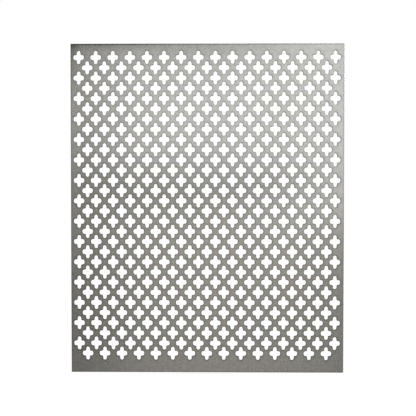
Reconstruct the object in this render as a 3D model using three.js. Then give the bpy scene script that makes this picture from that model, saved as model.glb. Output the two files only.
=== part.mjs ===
// Laser cut metal screen: one flat steel sheet, cut through with upright crosses in staggered rows.
// Millimetres, +Z up. The origin is the middle of the bottom edge, and the front face looks along -Y.
import * as THREE from "three";

// Driving dimensions.
const THICKNESS = 2;
const COLUMNS = 16; // crosses in the top row; every second row sits half a pitch over and has one fewer
const ROWS = 30;
const COLUMN_PITCH = 31.25; // centre to centre along a row
const ROW_SPACING = 18.7; // centre line to centre line, row to row
const CROSS_WIDTH = 19.6; // one cut-out, end to end of its level arms
const CROSS_HEIGHT = 24.2; // the same for its upright arms, which are longer
const UPRIGHT_ARM_WIDTH = 7; // at the crossing
const UPRIGHT_END_WIDTH = 5.5; // across the tip, where the arm rounds off
const LEVEL_ARM_WIDTH = 9.2;
const LEVEL_END_WIDTH = 7.2;
const LEFT_BORDER = 5.2; // plain metal from the sheet's edge to the nearest cut-out
const RIGHT_BORDER = 6.45;
const TOP_BORDER = 12.9;
const BOTTOM_BORDER = 23.1;

// Sizes that follow.
const STAGGER = COLUMN_PITCH / 2;
const SHEET_WIDTH = LEFT_BORDER + CROSS_WIDTH + COLUMN_PITCH * (COLUMNS - 1) + RIGHT_BORDER;
const LEFT_EDGE = -SHEET_WIDTH / 2;
const RIGHT_EDGE = SHEET_WIDTH / 2;
const FIRST_COLUMN = LEFT_EDGE + LEFT_BORDER + CROSS_WIDTH / 2;
const LAST_ROW_HEIGHT = BOTTOM_BORDER + CROSS_HEIGHT / 2;
const SHEET_HEIGHT = LAST_ROW_HEIGHT + ROW_SPACING * (ROWS - 1) + CROSS_HEIGHT / 2 + TOP_BORDER;
const SEAM_ROW = Math.floor(ROWS / 2); // the sheet is held as two halves that meet on this row's centre line
const SEAM_HEIGHT = rowHeight(SEAM_ROW);

const brushedSteel = new THREE.MeshStandardMaterial({ color: 0x9c9b96, metalness: 1, roughness: 0.38 });

// Rows count down from the top.
function rowHeight(row) {
  return LAST_ROW_HEIGHT + ROW_SPACING * (ROWS - 1 - row);
}

function crossCentres(row) {
  const staggered = row % 2;
  const firstCentre = FIRST_COLUMN + STAGGER * staggered;
  return Array.from(
    { length: COLUMNS - staggered },
    (_, column) => new THREE.Vector2(firstCentre + COLUMN_PITCH * column, rowHeight(row)),
  );
}

// The half of a cross on one side of its level centre line, from its left tip over to its right tip.
// side is 1 for the upper half and -1 for the lower.
function halfCross(centre, side) {
  const rightHand = [
    [CROSS_WIDTH / 2, LEVEL_END_WIDTH / 2],
    [UPRIGHT_ARM_WIDTH / 2, LEVEL_ARM_WIDTH / 2],
    [UPRIGHT_END_WIDTH / 2, CROSS_HEIGHT / 2],
  ];
  const leftHand = rightHand.map(([across, up]) => [-across, up]);
  return [...leftHand, ...rightHand.toReversed()].map(
    ([across, up]) => new THREE.Vector2(centre.x + across, centre.y + side * up),
  );
}

// Anticlockwise, as a hole's path has to be here: the sheet's own outline is turned clockwise.
function crossOutline(centre) {
  return [...halfCross(centre, -1), ...halfCross(centre, 1).reverse()];
}

// One half of the sheet. side is 1 for the half above the seam and -1 for the half below it. Its edge along
// the seam goes round the half crosses of the seam's row.
function sheetHalf(name, side, rows) {
  const centreToTip = new THREE.Vector2(CROSS_WIDTH / 2, 0);
  const seamEdge = crossCentres(SEAM_ROW).flatMap((centre) => [
    centre.clone().sub(centreToTip),
    ...halfCross(centre, side),
    centre.clone().add(centreToTip),
  ]);
  const farEdge = side > 0 ? SHEET_HEIGHT : 0;
  const outline = new THREE.Shape([
    new THREE.Vector2(LEFT_EDGE, SEAM_HEIGHT),
    ...seamEdge,
    new THREE.Vector2(RIGHT_EDGE, SEAM_HEIGHT),
    new THREE.Vector2(RIGHT_EDGE, farEdge),
    new THREE.Vector2(LEFT_EDGE, farEdge),
  ]);
  outline.holes = rows.flatMap(crossCentres).map((centre) => new THREE.Path(crossOutline(centre)));
  const half = new THREE.Mesh(
    new THREE.ExtrudeGeometry(outline, { depth: THICKNESS, bevelEnabled: false }),
    brushedSteel,
  );
  half.name = name;
  // The outline is drawn face on, so it is stood upright and centred on its own thickness.
  half.rotation.x = Math.PI / 2;
  half.position.y = THICKNESS / 2;
  return half;
}

const allRows = Array.from({ length: ROWS }, (_, row) => row);
const screen = new THREE.Group();
screen.add(sheetHalf("sheet_upper_half", 1, allRows.slice(0, SEAM_ROW)));
screen.add(sheetHalf("sheet_lower_half", -1, allRows.slice(SEAM_ROW + 1)));

export default screen;
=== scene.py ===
"""The laser cut metal screen: one brushed steel sheet, hung upright in a white studio.

Metres, +Z up. The front face looks along -Y, and the camera stands in front of it.
"""

import math

import bmesh
import bpy
from mathutils import Euler, Matrix, Vector


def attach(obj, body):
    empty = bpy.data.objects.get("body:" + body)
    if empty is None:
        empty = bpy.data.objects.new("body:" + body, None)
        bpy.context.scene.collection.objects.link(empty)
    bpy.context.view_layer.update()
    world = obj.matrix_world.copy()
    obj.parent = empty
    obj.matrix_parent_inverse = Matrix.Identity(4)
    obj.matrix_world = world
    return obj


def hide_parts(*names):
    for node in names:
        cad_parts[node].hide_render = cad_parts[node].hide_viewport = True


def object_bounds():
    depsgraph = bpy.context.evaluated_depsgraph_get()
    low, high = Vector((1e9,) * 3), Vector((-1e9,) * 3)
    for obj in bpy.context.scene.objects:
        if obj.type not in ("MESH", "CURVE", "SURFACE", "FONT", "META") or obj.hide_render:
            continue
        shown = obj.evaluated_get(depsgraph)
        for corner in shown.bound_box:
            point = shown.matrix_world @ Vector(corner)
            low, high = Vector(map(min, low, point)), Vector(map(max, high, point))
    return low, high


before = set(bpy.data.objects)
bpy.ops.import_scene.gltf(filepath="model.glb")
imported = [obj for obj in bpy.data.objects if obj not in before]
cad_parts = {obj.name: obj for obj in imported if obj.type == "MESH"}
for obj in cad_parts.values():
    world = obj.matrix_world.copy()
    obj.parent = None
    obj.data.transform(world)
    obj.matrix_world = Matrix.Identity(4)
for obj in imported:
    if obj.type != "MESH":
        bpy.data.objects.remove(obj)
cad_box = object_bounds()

# The sheet, from the frame.
SHEET_LOW, SHEET_HIGH = cad_box
THICKNESS = SHEET_HIGH.y - SHEET_LOW.y
CENTRE = (SHEET_LOW + SHEET_HIGH) / 2

# The pattern of crosses.
COLUMNS = 16  # in the top row; every second row sits half a pitch over and has one fewer
ROWS = 30
COLUMN_PITCH = 0.03125
ROW_SPACING = 0.0187
FIRST_COLUMN = SHEET_LOW.x + 0.015  # the centres of the crosses nearest the left edge
LAST_ROW = SHEET_LOW.z + 0.0352  # and of those nearest the bottom edge

# One cross, as it is cut.
CROSS_WIDTH = 0.0196  # end to end of its level arms
CROSS_HEIGHT = 0.0242  # the same for its upright arms, which are longer and narrower
UPRIGHT_ARM = 0.00335  # half an arm's width
LEVEL_ARM = 0.0045
END_ROUND = UPRIGHT_ARM  # the radius at an arm's end, so an upright arm ends in a half circle
LEVEL_SWELL = 0.0001  # a level arm's end is flatter, and swells this much at its middle
INNER_FILLET = 0.0018  # where two arms meet
END_STEPS = 3  # straight pieces in a quarter turn
FILLET_STEPS = 2
MERGE_DISTANCE = 1e-6  # where the mirrored quarters meet

CUT_BREAK = 0.0002  # the corner round every cross is just broken, on both faces
OUTER_ROUND = 0.0009  # the sheet's own four edges are dressed round
OUTER_STEPS = 3
OUTER_REACH = OUTER_ROUND * 1.1  # a little past the rounding
CREASE_ANGLE = 50  # two faces that turn more than this from each other meet in a sharp edge
SQUARE_ON = 0.99  # the front and the back are this square to the view or more, and nothing else is
BREAK_TURN = 0.5  # the breaks beside them are more square to it than this, and the walls of the cuts less

# Steel.
STEEL_COLOUR = (0.583, 0.581, 0.556)
STEEL_GRAIN = 0.45  # above 0, a reflection spreads wider across the brushing than along it
STEEL_ROUGHNESS = (0.20, 0.28)  # from one cloud of handling to the next
STREAK_ROUGHNESS = 0.02  # the brushing's streaks change it by this much either way
SCRATCH_TONE = 0.06  # the share by which each of these lightens and darkens the steel
STREAK_TONE = 0.08
MOTTLING_TONE = 0.18
BRUSH_STRETCH = (1, 0.3, 0.012)  # the brushing's marks are fine across the sheet, and long up it
SCRATCHES_PER_METRE, STREAKS_PER_METRE = 2400, 260
SCRATCH_STRENGTH, SCRATCH_DEPTH = 0.2, 0.00002
CLOUDS_PER_METRE, MOTTLING_PER_METRE, WAVES_PER_METRE = 9, 130, 3.2
WAVE_HEIGHT = 0.0008  # the sheet isn't quite flat

# The walls of the crosses, as the cut left them.
CUT_COLOUR = (0.15, 0.145, 0.135)
CUT_ROUGHNESS = (0.5, 0.7)
CUT_METAL, CUT_SHINE = 0.2, 0.25
RIDGES_PER_METRE = 2200
RIDGE_STRETCH = (1, 0.08, 1)  # they run through the thickness
RIDGE_TONE = (0.7, 1.3)
RIDGE_STRENGTH, RIDGE_DEPTH = 0.6, 0.00006
SOOT_PER_METRE = 60
SOOT_TONE = (0.85, 1.15)

# The dark tint round the cuts: partly the tint that the cutting left on the faces, partly painted shade.
CUT_TINT_AND_SHADE_COLOUR = (0.11, 0.105, 0.096, 1)
CUT_TINT_AND_SHADE_STRENGTH = (0.46, 0.76)  # how strong it is at a cut: at the top of the sheet, and from half way down, where more painted shade is laid on
CUT_TINT_AND_SHADE_FADE = 0.0014  # it fades to about a third over this distance
CUT_TINT_AND_SHADE_BLEND = 0.0031  # it runs together where two arms meet
PAINTED_SHADE_SHIFT = 0.0004  # painted shade: it sits this far up and to the right at the sheet's top, and true at its bottom
PAINTED_EDGE_SHADE = 0.30  # how strong the painted shade is along the sheet's own edges
PAINTED_EDGE_SHADE_WIDTH = (0.0015, 0.0036)  # it is even this far in, and gone here

# Where the sheet's edges lean back from the flat.
TOP_LEAN_REACH = 0.014  # the top leans this far down from its edge
TOP_LEAN = (0.00018, 0.00003)  # by this much at the left edge, and from the middle to the right edge
TOP_ROLL_REACH = 0.0027  # and where it was sheared to length, its top rolls over
TOP_ROLL = 0.00022
LEFT_LEAN_REACH = 0.018  # the left edge leans too, this far in
LEFT_LEAN = 0.0011  # by this much at the top
LEFT_LEAN_LENGTH = 0.09  # and less and less, until it is flat this far down

# The camera: its place in metres, and its turn in degrees from upright and square to the sheet.
CAMERA_PLACE = (0.0119, -1.0581, 0.3210)
CAMERA_TILT = -0.995
CAMERA_ROLL = -0.017
CAMERA_YAW = 0.562
CAMERA_LENS, CAMERA_SENSOR = 50, 36  # millimetres

# The studio.
FLOOR_DROP = 0.9  # the sheet hangs this far above the floor
FLOOR_SIZE = 14
FLOOR_COLOUR = 0.85
FLOOR_ROUGHNESS = 0.9
FLOOR_GLOW = 0.55  # brings the lit floor up to white, for the rays that look at it
SOFT_LIGHT = 0.35  # the world's light on the object and the floor
SUN_LIGHT = 1.0
SUN_PLACE = (1.5, -1.6, 1.9)  # it shines from here towards the sheet
SUN_SPREAD = 25  # degrees

CARD_WARMTH = (1.05, 1.0, 0.95, 1)
DARK = (0.02, 0.02)
# Grey cards that the steel mirrors. One set stands behind the camera, and the same set, turned about, stands
# behind the sheet. For each card: how far it is from the sheet, its left, right, low and high edges, and its
# shades at the low and the high edge.
CARDS = {
    "low_card": (2.0, (-2.6, 0.21, -0.9, 0.42), (0.33, 0.62)),
    "low_right_card": (2.0, (0.21, 2.6, -0.9, 0.22), (0.27, 0.63)),
    "bottom_card": (1.98, (-2.6, 2.6, -0.9, -0.54), (0.22, 0.26)),
    "sill_card": (1.98, (-2.6, 0.56, 0.348, 0.464), (0.03, 0.03)),
    "left_card": (1.96, (-2.6, -0.56, -0.9, 1.17), (0.02, 0.42)),
    "right_card": (1.97, (0.74, 2.6, -0.9, 0.174), (0.08, 0.15)),
    "high_card": (1.98, (-2.6, 0.3, 1.15, 1.45), DARK),
    "high_left_card": (1.98, (-2.6, -0.3, 1.45, 3.0), DARK),
    "high_right_card": (1.98, (0.34, 2.6, 1.515, 3.0), DARK),
}
CEILING_CARD = (3.0, -2.6, -0.2, 3.2)  # overhead: its height, its left and right edges, and its depth


# ---- the sheet ----

def verts_of(geometry):
    return [item for item in geometry if isinstance(item, bmesh.types.BMVert)]


def turned_vertex(bm, vertex, centre, degrees, steps):
    """Sweeps a vertex round a centre in the sheet's plane, and gives back the last one."""
    made = bmesh.ops.spin(
        bm, geom=[vertex], cent=centre, axis=(0, 1, 0), angle=math.radians(degrees), steps=steps
    )
    return verts_of(made["geom_last"])[0]


def drawn_vertex(bm, vertex, place):
    """Draws a straight line from a vertex to a place, and gives back its far end."""
    far_end = bmesh.ops.extrude_vert_indiv(bm, verts=[vertex])["verts"][0]
    far_end.co = place
    return far_end


def draw_cross(bm):
    """One cross about the origin: a quarter of its outline, mirrored twice."""
    top = CROSS_HEIGHT / 2
    flat_side, flat_height = CROSS_WIDTH / 2 - LEVEL_SWELL, LEVEL_ARM - END_ROUND
    fillet_across, fillet_up = UPRIGHT_ARM + INNER_FILLET, LEVEL_ARM + INNER_FILLET
    vertex = bm.verts.new((CROSS_WIDTH / 2, 0, 0))
    vertex = drawn_vertex(bm, vertex, (flat_side, 0, flat_height))
    vertex = turned_vertex(bm, vertex, (flat_side - END_ROUND, 0, flat_height), -90, END_STEPS)
    vertex = drawn_vertex(bm, vertex, (fillet_across, 0, LEVEL_ARM))
    vertex = turned_vertex(bm, vertex, (fillet_across, 0, fillet_up), 90, FILLET_STEPS)
    vertex = drawn_vertex(bm, vertex, (UPRIGHT_ARM, 0, top - END_ROUND))
    turned_vertex(bm, vertex, (0, 0, top - END_ROUND), -90, END_STEPS)
    for axis in "XZ":
        bmesh.ops.mirror(bm, geom=bm.verts[:] + bm.edges[:], axis=axis, merge_dist=MERGE_DISTANCE)


def cross_centres():
    """Every cross of the pattern, from the top row down."""
    for row in range(ROWS):
        staggered = row % 2
        for column in range(COLUMNS - staggered):
            across = FIRST_COLUMN + COLUMN_PITCH * (column + staggered / 2)
            yield Vector((across, 0, LAST_ROW + ROW_SPACING * (ROWS - 1 - row)))


def draw_sheet_outline(bm):
    """The sheet's own four edges."""
    corners = [
        bm.verts.new((across, 0, up))
        for across, up in (
            (SHEET_LOW.x, SHEET_LOW.z),
            (SHEET_HIGH.x, SHEET_LOW.z),
            (SHEET_HIGH.x, SHEET_HIGH.z),
            (SHEET_LOW.x, SHEET_HIGH.z),
        )
    ]
    for corner, following in zip(corners, corners[1:] + corners[:1]):
        bm.edges.new((corner, following))


def faces_front_or_back(face):
    return abs(face.normal.y) > SQUARE_ON


def near_outer_edge(vertex):
    """True on the sheet's own edges and their rounding."""
    from_sides = min(vertex.co.x - SHEET_LOW.x, SHEET_HIGH.x - vertex.co.x)
    from_ends = min(vertex.co.z - SHEET_LOW.z, SHEET_HIGH.z - vertex.co.z)
    return min(from_sides, from_ends) < OUTER_REACH


def solid_sheet(bm):
    """Fills the drawn outlines, and gives the sheet its thickness."""
    bmesh.ops.triangle_fill(
        bm, use_beauty=True, use_dissolve=False, edges=bm.edges[:], normal=(0, -1, 0)
    )
    bmesh.ops.translate(bm, verts=bm.verts[:], vec=(0, SHEET_LOW.y, 0))
    rear = bmesh.ops.extrude_face_region(bm, geom=bm.faces[:])
    bmesh.ops.translate(bm, verts=verts_of(rear["geom"]), vec=(0, THICKNESS, 0))
    bmesh.ops.recalc_face_normals(bm, faces=bm.faces[:])


def break_corners(bm):
    """A fine break round every cross, and a rounding on the sheet's own edges."""
    corners = [edge for edge in bm.edges if sum(map(faces_front_or_back, edge.link_faces)) == 1]
    outer = [edge for edge in corners if all(map(near_outer_edge, edge.verts))]
    cut = [edge for edge in corners if edge not in set(outer)]
    for edges, offset, segments in ((cut, CUT_BREAK, 1), (outer, OUTER_ROUND, OUTER_STEPS)):
        bmesh.ops.bevel(
            bm, geom=edges, offset=offset, offset_type="OFFSET", segments=segments, profile=0.5,
            affect="EDGES", material=-1, clamp_overlap=False,
        )


def mark_creases(bm):
    """Shades the walls of the cuts as round, and the two faces as flat."""
    crease = math.radians(CREASE_ANGLE)
    for face in bm.faces:
        face.smooth = True
    for edge in bm.edges:
        borders_flat = sum(map(faces_front_or_back, edge.link_faces)) == 1
        edge.smooth = not borders_flat and edge.calc_face_angle() < crease


def lay_finishes(bm):
    """Brushed steel on the faces, their breaks and the dressed edges, a bare cut in the crosses."""
    across_and_along = bm.loops.layers.uv.new("brushing")
    for face in bm.faces:
        brushed = abs(face.normal.y) > BREAK_TURN or all(map(near_outer_edge, face.verts))
        face.material_index = BRUSHED if brushed else CUT
        for loop in face.loops:
            loop[across_and_along].uv = (loop.vert.co.x, loop.vert.co.z)


def make_perforated_sheet():
    """The whole sheet as one solid."""
    bm = bmesh.new()
    draw_cross(bm)
    drawn = bm.verts[:] + bm.edges[:]
    for centre in cross_centres():
        copy = bmesh.ops.duplicate(bm, geom=drawn)
        bmesh.ops.translate(bm, verts=verts_of(copy["geom"]), vec=centre)
    bmesh.ops.delete(bm, geom=verts_of(drawn), context="VERTS")
    draw_sheet_outline(bm)
    solid_sheet(bm)
    break_corners(bm)
    mark_creases(bm)
    lay_finishes(bm)
    return new_object("perforated_sheet", bm)


def new_object(name, bm):
    mesh = bpy.data.meshes.new(name)
    bm.to_mesh(mesh)
    bm.free()
    made = bpy.data.objects.new(name, mesh)
    bpy.context.scene.collection.objects.link(made)
    return made


# ---- finishes ----

BRUSHED, CUT = 0, 1  # the sheet's material slots


class Nodes:
    """Adds nodes to a tree, one call to a node."""

    def __init__(self, tree):
        self.tree = tree

    def add(self, kind, settings=None, **inputs):
        """A new node. An input is given another node's output to link, or a value to set."""
        node = self.tree.nodes.new("ShaderNode" + kind)
        for name, value in (settings or {}).items():
            setattr(node, name, value)
        for name, value in inputs.items():
            self.feed(node, name.replace("_", " "), value)
        return node

    def feed(self, node, socket_name, value):
        socket = node.inputs[socket_name]
        if isinstance(value, bpy.types.NodeSocket):
            self.tree.links.new(value, socket)
        else:
            socket.default_value = value

    def math(self, operation, *values):
        node = self.add("Math", {"operation": operation})
        for index, value in enumerate(values):
            self.feed(node, index, value)
        return node.outputs["Value"]

    def least(self, values):
        lowest, *others = values
        for value in others:
            lowest = self.math("MINIMUM", lowest, value)
        return lowest

    def spread(self, value, low, high):
        """Spreads a value from 0 to 1 over a range."""
        return self.add("MapRange", Value=value, To_Min=low, To_Max=high).outputs["Result"]

    def tinted(self, colour, tone):
        """A colour made lighter or darker by a tone."""
        scaled = self.add("VectorMath", {"operation": "SCALE"}, Vector=colour, Scale=tone)
        return scaled.outputs["Vector"]

    def mixed(self, share, first, second):
        """The first colour where the share is 0, the second where it is 1."""
        node = self.add("Mix", {"data_type": "RGBA"})
        self.feed(node, "Factor", share)
        self.feed(node, "A", first)
        self.feed(node, "B", second)
        return node.outputs["Result"]

    def bump(self, height, depth, strength=1.0, over=None):
        """A height over the surface, or over another bump."""
        node = self.add("Bump", Height=height, Strength=strength, Distance=depth)
        if over is not None:
            self.feed(node, "Normal", over)
        return node.outputs["Normal"]

    def group(self, tree, **inputs):
        node = self.tree.nodes.new("ShaderNodeGroup")
        node.node_tree = tree
        for name, value in inputs.items():
            self.feed(node, name.replace("_", " "), value)
        return node.outputs


def new_group(name, inputs, outputs):
    """A shader node group with named inputs and outputs."""
    tree = bpy.data.node_groups.new(name, "ShaderNodeTree")
    for socket, default in inputs.items():
        made = tree.interface.new_socket(socket, in_out="INPUT", socket_type="NodeSocketFloat")
        made.default_value = default
    for socket in outputs:
        tree.interface.new_socket(socket, in_out="OUTPUT", socket_type="NodeSocketFloat")
    given = tree.nodes.new("NodeGroupInput").outputs
    result = tree.nodes.new("NodeGroupOutput")
    return Nodes(tree), given, result


def scratches_group():
    """Fine scratches in one direction, and the broader streaks among them."""
    nodes, given, result = new_group(
        "scratches",
        {"Scratches Per Metre": SCRATCHES_PER_METRE, "Streaks Per Metre": STREAKS_PER_METRE},
        ("Scratches", "Streaks"),
    )
    place = nodes.add("TexCoord").outputs["Object"]
    drawn_out = nodes.add("Mapping", Vector=place, Scale=BRUSH_STRETCH).outputs["Vector"]
    for output, scale, detail in (
        ("Scratches", "Scratches Per Metre", 3),
        ("Streaks", "Streaks Per Metre", 5),
    ):
        noise = nodes.add("TexNoise", Vector=drawn_out, Scale=given[scale], Detail=detail, Roughness=0.55)
        nodes.feed(result, output, noise.outputs["Fac"])
    return nodes.tree


def handling_group():
    """Clouds and mottling where the steel was wiped and handled, and the slow waves of the sheet."""
    nodes, given, result = new_group(
        "handling",
        {
            "Clouds Per Metre": CLOUDS_PER_METRE,
            "Mottling Per Metre": MOTTLING_PER_METRE,
            "Waves Per Metre": WAVES_PER_METRE,
        },
        ("Clouds", "Mottling", "Waves"),
    )
    place = nodes.add("TexCoord").outputs["Object"]
    for output, scale, detail in (
        ("Clouds", "Clouds Per Metre", 4),
        ("Mottling", "Mottling Per Metre", 2),
        ("Waves", "Waves Per Metre", 1),
    ):
        noise = nodes.add("TexNoise", Vector=place, Scale=given[scale], Detail=detail, Roughness=0.5)
        nodes.feed(result, output, noise.outputs["Fac"])
    return nodes.tree


def off_nearest(nodes, value, first, pitch, count):
    """How far a value is from the nearest of some evenly spaced places."""
    along = nodes.math("SUBTRACT", value, first)
    step = nodes.math("ROUND", nodes.math("DIVIDE", along, pitch))
    step = nodes.math("MINIMUM", nodes.math("MAXIMUM", step, 0), count - 1)
    return nodes.math("ABSOLUTE", nodes.math("SUBTRACT", along, nodes.math("MULTIPLY", step, pitch)))


def off_arms(nodes, across, up, half_width, half_height):
    """How far a point is from the edge of a pair of arms, given its distances from the cross's centre."""
    past_side = nodes.math("MAXIMUM", nodes.math("SUBTRACT", across, half_width - END_ROUND), 0)
    past_end = nodes.math("MAXIMUM", nodes.math("SUBTRACT", up, half_height - END_ROUND), 0)
    reach = nodes.add("CombineXYZ", X=past_side, Y=past_end).outputs["Vector"]
    length = nodes.add("VectorMath", {"operation": "LENGTH"}, Vector=reach).outputs["Value"]
    return nodes.math("SUBTRACT", length, END_ROUND)


def inside_outer_edge(nodes, place):
    """How far a point is inside the sheet's nearest own edge."""
    distances = [
        nodes.math("SUBTRACT", place["X"], SHEET_LOW.x),
        nodes.math("SUBTRACT", SHEET_HIGH.x, place["X"]),
        nodes.math("SUBTRACT", place["Z"], SHEET_LOW.z),
        nodes.math("SUBTRACT", SHEET_HIGH.z, place["Z"]),
    ]
    return nodes.least(distances)


def off_crosses(nodes, across, up):
    """How far a place is from the edge of the nearest cross."""
    distances = []
    for staggered in (0, 1):
        first = FIRST_COLUMN + COLUMN_PITCH / 2 * staggered
        lowest = LAST_ROW + ROW_SPACING * (1 - staggered)
        off_column = off_nearest(nodes, across, first, COLUMN_PITCH, COLUMNS - staggered)
        off_row = off_nearest(nodes, up, lowest, ROW_SPACING * 2, ROWS // 2)
        level = off_arms(nodes, off_column, off_row, CROSS_WIDTH / 2, LEVEL_ARM)
        upright = off_arms(nodes, off_column, off_row, UPRIGHT_ARM, CROSS_HEIGHT / 2)
        distances.append(nodes.math("SMOOTH_MIN", level, upright, CUT_TINT_AND_SHADE_BLEND))
    return nodes.least(distances)


def cut_tint_and_shade_group():
    """A dark tint along every cut edge, fading to 0 away from it: partly where the cutting tinted the faces,
    partly painted shade; and painted shade along the sheet's own edges.
    """
    nodes, given, result = new_group("cut_tint_and_shade", {"Edge Scorch": PAINTED_EDGE_SHADE}, ("Cut Tint And Shade",))
    place = nodes.add("SeparateXYZ", Vector=nodes.add("TexCoord").outputs["Object"]).outputs
    # Painted shade: the tint is moved up and to the right of each cross, most at the top and not at all at
    # the bottom.
    shade_shift = nodes.add(
        "MapRange", Value=place["Z"], From_Min=SHEET_LOW.z, From_Max=SHEET_HIGH.z,
        To_Min=0, To_Max=PAINTED_SHADE_SHIFT,
    ).outputs["Result"]
    off_cut = off_crosses(
        nodes, nodes.math("SUBTRACT", place["X"], shade_shift), nodes.math("SUBTRACT", place["Z"], shade_shift)
    )
    fading = nodes.math("EXPONENT", nodes.math("DIVIDE", off_cut, -CUT_TINT_AND_SHADE_FADE))
    # Stronger from half way down than at the top: this rise is painted shade.
    tint_and_shade_by_height = nodes.add(
        "MapRange", Value=place["Z"], From_Min=SHEET_HIGH.z, From_Max=CENTRE.z,
        To_Min=CUT_TINT_AND_SHADE_STRENGTH[0], To_Max=CUT_TINT_AND_SHADE_STRENGTH[1],
    )
    round_crosses = nodes.math("MULTIPLY", fading, tint_and_shade_by_height.outputs["Result"])
    by_edge = nodes.add(
        # Painted shade along the sheet's own edges.
        "MapRange", {"interpolation_type": "SMOOTHSTEP"}, Value=inside_outer_edge(nodes, place),
        From_Min=PAINTED_EDGE_SHADE_WIDTH[0], From_Max=PAINTED_EDGE_SHADE_WIDTH[1], To_Min=1, To_Max=0,
    )
    along_edges = nodes.math("MULTIPLY", by_edge.outputs["Result"], given["Edge Scorch"])
    nodes.feed(result, "Cut Tint And Shade", nodes.math("MAXIMUM", round_crosses, along_edges))
    return nodes.tree


def new_material(name):
    material = bpy.data.materials.new(name)
    material.use_nodes = True
    material.node_tree.nodes.clear()
    nodes = Nodes(material.node_tree)
    surface = nodes.add("BsdfPrincipled")
    nodes.add("OutputMaterial", Surface=surface.outputs["BSDF"])
    return material, nodes, surface


def leaning_edges_group():
    """How far the top and the upper left edge fall back from the flat: a height in metres, 0 or less."""
    nodes, given, result = new_group("leaning_edges", {}, ("Height",))
    place = nodes.add("SeparateXYZ", Vector=nodes.add("TexCoord").outputs["Object"]).outputs
    top, left = SHEET_HIGH.z, SHEET_LOW.x
    top_depth = nodes.add(
        "MapRange", Value=place["X"], From_Min=left, From_Max=CENTRE.x,
        To_Min=TOP_LEAN[0], To_Max=TOP_LEAN[1],
    ).outputs["Result"]
    left_depth = nodes.add(
        "MapRange", Value=place["Z"], From_Min=top - LEFT_LEAN_LENGTH, From_Max=top,
        To_Min=0, To_Max=LEFT_LEAN,
    ).outputs["Result"]
    falls = []
    for along, flat, edge, depth in (
        (place["Z"], top - TOP_LEAN_REACH, top, top_depth),
        (place["Z"], top - TOP_ROLL_REACH, top, TOP_ROLL),
        (place["X"], left + LEFT_LEAN_REACH, left, left_depth),
    ):
        near_edge = nodes.add("MapRange", Value=along, From_Min=flat, From_Max=edge).outputs["Result"]
        falls.append(nodes.math("MULTIPLY", nodes.math("POWER", near_edge, 2), depth))
    top_lean, top_roll, left_lean = falls
    fall = nodes.math("ADD", nodes.math("ADD", top_lean, top_roll), left_lean)
    nodes.feed(result, "Height", nodes.math("SUBTRACT", 0, fall))
    return nodes.tree


def brushed_steel(scratches, handling, cut_tint_and_shade, leaning_edges):
    """The two faces and the dressed edges: satin steel, brushed up the sheet."""
    material, nodes, surface = new_material("brushed_steel")
    brush = nodes.group(scratches)
    wear = nodes.group(handling)
    scratch_tone = nodes.spread(brush["Scratches"], -SCRATCH_TONE, SCRATCH_TONE)
    streak_tone = nodes.spread(brush["Streaks"], 1 - STREAK_TONE, 1 + STREAK_TONE)
    mottling_tone = nodes.spread(wear["Mottling"], -MOTTLING_TONE, MOTTLING_TONE)
    tone = nodes.math("ADD", nodes.math("ADD", scratch_tone, streak_tone), mottling_tone)
    # The cut's tint with painted shade, round the crosses and along the sheet's edges.
    tint_and_shade = nodes.group(cut_tint_and_shade, Edge_Scorch=PAINTED_EDGE_SHADE)["Cut Tint And Shade"]
    bare = nodes.tinted(STEEL_COLOUR, tone)
    nodes.feed(surface, "Base Color", nodes.mixed(tint_and_shade, bare, CUT_TINT_AND_SHADE_COLOUR))
    cloud_roughness = nodes.spread(wear["Clouds"], *STEEL_ROUGHNESS)
    streak_roughness = nodes.spread(brush["Streaks"], -STREAK_ROUGHNESS, STREAK_ROUGHNESS)
    nodes.feed(surface, "Roughness", nodes.math("ADD", cloud_roughness, streak_roughness))
    surface.inputs["Metallic"].default_value = 1
    surface.inputs["Anisotropic"].default_value = STEEL_GRAIN
    across = nodes.add("Tangent", {"direction_type": "UV_MAP", "uv_map": "brushing"})
    nodes.feed(surface, "Tangent", across.outputs["Tangent"])
    waves = nodes.bump(wear["Waves"], WAVE_HEIGHT)
    leaning = nodes.bump(nodes.group(leaning_edges)["Height"], 1, over=waves)
    scratched = nodes.bump(brush["Scratches"], SCRATCH_DEPTH, SCRATCH_STRENGTH, over=leaning)
    nodes.feed(surface, "Normal", scratched)
    return material


def laser_cut_edge(handling):
    """The walls of the crosses: scorched, dull, and ridged through the thickness by the cut."""
    material, nodes, surface = new_material("laser_cut_edge")
    soot = nodes.group(handling, Clouds_Per_Metre=SOOT_PER_METRE)["Clouds"]
    place = nodes.add("TexCoord").outputs["Object"]
    through = nodes.add("Mapping", Vector=place, Scale=RIDGE_STRETCH).outputs["Vector"]
    noise = nodes.add("TexNoise", Vector=through, Scale=RIDGES_PER_METRE, Detail=2, Roughness=0.5)
    ridges = noise.outputs["Fac"]
    tone = nodes.math("MULTIPLY", nodes.spread(ridges, *RIDGE_TONE), nodes.spread(soot, *SOOT_TONE))
    nodes.feed(surface, "Base Color", nodes.tinted(CUT_COLOUR, tone))
    nodes.feed(surface, "Roughness", nodes.spread(ridges, *CUT_ROUGHNESS))
    surface.inputs["Metallic"].default_value = CUT_METAL
    surface.inputs["Specular IOR Level"].default_value = CUT_SHINE
    nodes.feed(surface, "Normal", nodes.bump(ridges, RIDGE_DEPTH, RIDGE_STRENGTH))
    return material


# ---- studio ----

def sees_white(nodes):
    """1 for the camera's rays and for those that metal or glass sends on, which see a white studio."""
    path = nodes.add("LightPath").outputs
    direct = nodes.math("MAXIMUM", path["Is Camera Ray"], path["Is Glossy Ray"])
    return nodes.math("MAXIMUM", direct, path["Is Transmission Ray"])


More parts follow.
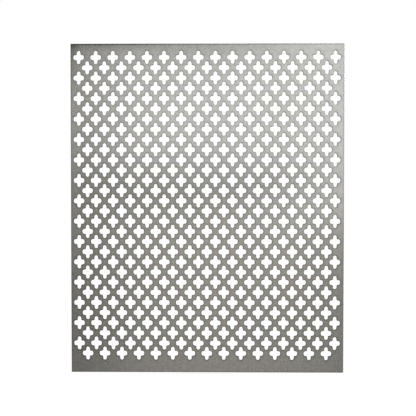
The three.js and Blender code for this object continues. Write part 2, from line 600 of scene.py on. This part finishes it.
def make_world():
    """White to look at, and a soft light on everything."""
    world = bpy.data.worlds.new("studio")
    world.use_nodes = True
    world.node_tree.nodes.clear()
    nodes = Nodes(world.node_tree)
    light = nodes.add("Background", Color=(1, 1, 1, 1), Strength=SOFT_LIGHT)
    white = nodes.add("Background", Color=(1, 1, 1, 1), Strength=1)
    mixed = nodes.add("MixShader", Fac=sees_white(nodes))
    nodes.feed(mixed, 1, light.outputs["Background"])
    nodes.feed(mixed, 2, white.outputs["Background"])
    nodes.add("OutputWorld", Surface=mixed.outputs["Shader"])
    bpy.context.scene.world = world


def staged_plane(name, width, height, place, upright=False, turned=False):
    """A plane of the studio. A turned one is carried half way round the sheet, to its other side."""
    bm = bmesh.new()
    bmesh.ops.create_grid(bm, x_segments=1, y_segments=1, size=0.5)
    bmesh.ops.scale(bm, vec=(width, height, 1), verts=bm.verts[:])
    if upright:
        bmesh.ops.rotate(bm, verts=bm.verts[:], matrix=Matrix.Rotation(math.radians(90), 3, "X"))
    bmesh.ops.translate(bm, verts=bm.verts[:], vec=place)
    if turned:
        bmesh.ops.rotate(bm, verts=bm.verts[:], matrix=Matrix.Rotation(math.radians(180), 3, "Z"))
    plane = new_object(name, bm)
    return plane


def make_floor():
    """A pale floor that looks white and keeps the sheet's shadow."""
    place = (CENTRE.x, CENTRE.y, SHEET_LOW.z - FLOOR_DROP)
    floor = staged_plane("floor", FLOOR_SIZE, FLOOR_SIZE, place)
    material, nodes, surface = new_material("pale_floor")
    surface.inputs["Base Color"].default_value = (FLOOR_COLOUR, FLOOR_COLOUR, FLOOR_COLOUR, 1)
    surface.inputs["Roughness"].default_value = FLOOR_ROUGHNESS
    surface.inputs["Specular IOR Level"].default_value = 0
    surface.inputs["Emission Color"].default_value = (1, 1, 1, 1)
    nodes.feed(surface, "Emission Strength", nodes.math("MULTIPLY", sees_white(nodes), FLOOR_GLOW))
    floor.data.materials.append(material)


def grey_card(name, low, high, shades):
    """A card's own material: it glows in one grey at the low edge and another at the high one."""
    material = bpy.data.materials.new(name)
    material.use_nodes = True
    material.node_tree.nodes.clear()
    nodes = Nodes(material.node_tree)
    place = nodes.add("TexCoord").outputs["Object"]
    height = nodes.add("SeparateXYZ", Vector=place).outputs["Z"]
    shade = nodes.add(
        "MapRange", Value=height, From_Min=low, From_Max=high, To_Min=shades[0], To_Max=shades[1]
    )
    glow = nodes.add("Emission", Color=CARD_WARMTH, Strength=shade.outputs["Result"])
    nodes.add("OutputMaterial", Surface=glow.outputs["Emission"])
    return material


def show_only_in_reflections(card):
    card.visible_camera = False
    card.visible_diffuse = False
    card.visible_shadow = False


def make_cards(side, turned):
    """The grey cards on one side of the sheet, as a photographer shades metal."""
    for name, (distance, (left, right, low, high), shades) in CARDS.items():
        place = ((left + right) / 2, -distance, (low + high) / 2)
        card = staged_plane(f"{side}_{name}", right - left, high - low, place, upright=True, turned=turned)
        card.data.materials.append(grey_card(name, low, high, shades))
        show_only_in_reflections(card)


def make_ceiling_card():
    height, left, right, depth = CEILING_CARD
    place = ((left + right) / 2, depth / 2 - CARDS["high_card"][0], height)
    ceiling = staged_plane("ceiling_card", right - left, depth, place)
    ceiling.data.materials.append(grey_card("ceiling_card", 0, 1, DARK))
    show_only_in_reflections(ceiling)


def make_sun():
    """One soft light from the upper right, in front."""
    data = bpy.data.lights.new("sun", "SUN")
    data.energy = SUN_LIGHT
    data.angle = math.radians(SUN_SPREAD)
    sun = bpy.data.objects.new("sun", data)
    sun.location = SUN_PLACE
    sun.rotation_euler = (CENTRE - Vector(SUN_PLACE)).to_track_quat("-Z", "Y").to_euler()
    bpy.context.scene.collection.objects.link(sun)


def make_camera():
    data = bpy.data.cameras.new("camera")
    data.lens = CAMERA_LENS
    data.sensor_width = CAMERA_SENSOR
    camera = bpy.data.objects.new("camera", data)
    camera.location = CAMERA_PLACE
    camera.rotation_euler = Euler(
        [math.radians(angle) for angle in (90 + CAMERA_TILT, CAMERA_ROLL, CAMERA_YAW)]
    )
    bpy.context.scene.collection.objects.link(camera)
    bpy.context.scene.camera = camera


bpy.context.scene.view_settings.view_transform = "Standard"
make_camera()
make_world()
make_floor()
make_sun()
make_cards("front", turned=False)
make_cards("rear", turned=True)
make_ceiling_card()

scratches = scratches_group()
handling = handling_group()
sheet = make_perforated_sheet()
sheet.data.materials.append(brushed_steel(scratches, handling, cut_tint_and_shade_group(), leaning_edges_group()))
sheet.data.materials.append(laser_cut_edge(handling))
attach(sheet, "root")
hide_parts("sheet_upper_half", "sheet_lower_half")
